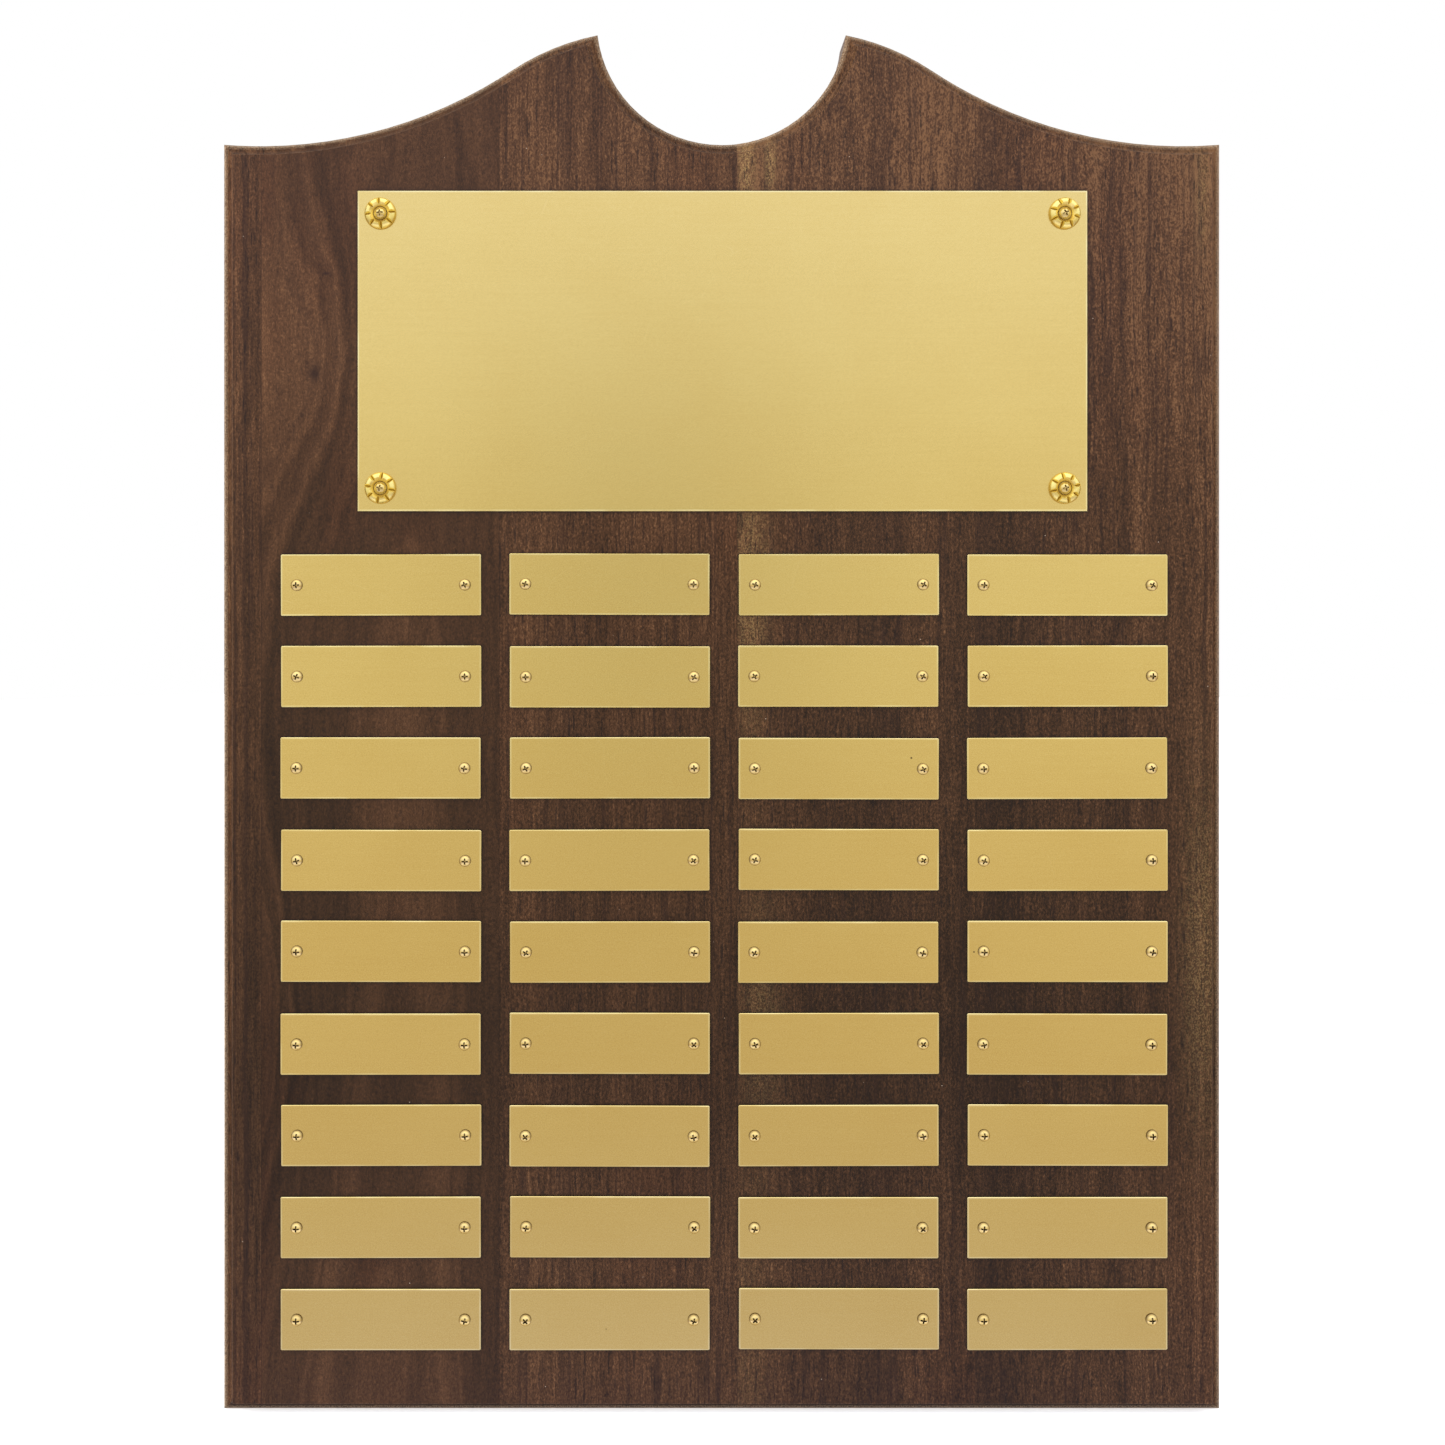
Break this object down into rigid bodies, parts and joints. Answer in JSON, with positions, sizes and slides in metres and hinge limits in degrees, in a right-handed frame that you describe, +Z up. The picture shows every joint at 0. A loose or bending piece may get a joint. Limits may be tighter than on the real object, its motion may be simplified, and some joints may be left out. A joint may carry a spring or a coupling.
{
  "type": "wooden plaque",
  "caption": "Wall plaque: a moulded walnut board with curved shoulders and a round scoop, a brass header plate held by rosettes, and rows of brass name plates.",
  "frame": {"origin": "on the back face of the board, on its centreline, at the height of the two hanging points", "axes": "+X to the right as the plaque is read, +Y into the wall, +Z up; the front faces -Y"},
  "size_m": [0.319, 0.022, 0.4402],
  "materials": {
    "walnut": "satin lacquer over dark walnut, vertical grain",
    "header_brass": "satin, fine horizontal brushing",
    "name_plate_brass": "satin, fine horizontal brushing",
    "rosette_brass": "bright stamped brass",
    "screw_brass": "bright brass plate",
    "hanger_brass": "brass-plated steel, slightly dull",
    "hanger_screw_brass": "brass-plated steel"
  },
  "bodies": {
    "root": {"walnut_stave_1": "walnut", "walnut_stave_2": "walnut", "walnut_stave_3": "walnut", "walnut_stave_4": "walnut", "walnut_stave_5": "walnut", "header_plate": "header_brass", "rosette_upper_left": "rosette_brass", "rosette_upper_right": "rosette_brass", "rosette_lower_left": "rosette_brass", "rosette_lower_right": "rosette_brass", "header_screws": "screw_brass", "name_plate_r1_c1": "name_plate_brass", "name_plate_r1_c2": "name_plate_brass", "name_plate_r1_c3": "name_plate_brass", "name_plate_r1_c4": "name_plate_brass", "name_plate_r2_c1": "name_plate_brass", "name_plate_r2_c2": "name_plate_brass", "name_plate_r2_c3": "name_plate_brass", "name_plate_r2_c4": "name_plate_brass", "name_plate_r3_c1": "name_plate_brass", "name_plate_r3_c2": "name_plate_brass", "name_plate_r3_c3": "name_plate_brass", "name_plate_r3_c4": "name_plate_brass", "name_plate_r4_c1": "name_plate_brass", "name_plate_r4_c2": "name_plate_brass", "name_plate_r4_c3": "name_plate_brass", "name_plate_r4_c4": "name_plate_brass", "name_plate_r5_c1": "name_plate_brass", "name_plate_r5_c2": "name_plate_brass", "name_plate_r5_c3": "name_plate_brass", "name_plate_r5_c4": "name_plate_brass", "name_plate_r6_c1": "name_plate_brass", "name_plate_r6_c2": "name_plate_brass", "name_plate_r6_c3": "name_plate_brass", "name_plate_r6_c4": "name_plate_brass", "name_plate_r7_c1": "name_plate_brass", "name_plate_r7_c2": "name_plate_brass", "name_plate_r7_c3": "name_plate_brass", "name_plate_r7_c4": "name_plate_brass", "name_plate_r8_c1": "name_plate_brass", "name_plate_r8_c2": "name_plate_brass", "name_plate_r8_c3": "name_plate_brass", "name_plate_r8_c4": "name_plate_brass", "name_plate_r9_c1": "name_plate_brass", "name_plate_r9_c2": "name_plate_brass", "name_plate_r9_c3": "name_plate_brass", "name_plate_r9_c4": "name_plate_brass", "name_screws_row_1": "screw_brass", "name_screws_row_2": "screw_brass", "name_screws_row_3": "screw_brass", "name_screws_row_4": "screw_brass", "name_screws_row_5": "screw_brass", "name_screws_row_6": "screw_brass", "name_screws_row_7": "screw_brass", "name_screws_row_8": "screw_brass", "name_screws_row_9": "screw_brass", "hanger_left": "hanger_brass", "hanger_right": "hanger_brass", "hanger_screws": "hanger_screw_brass"}
  },
  "joints": []
}
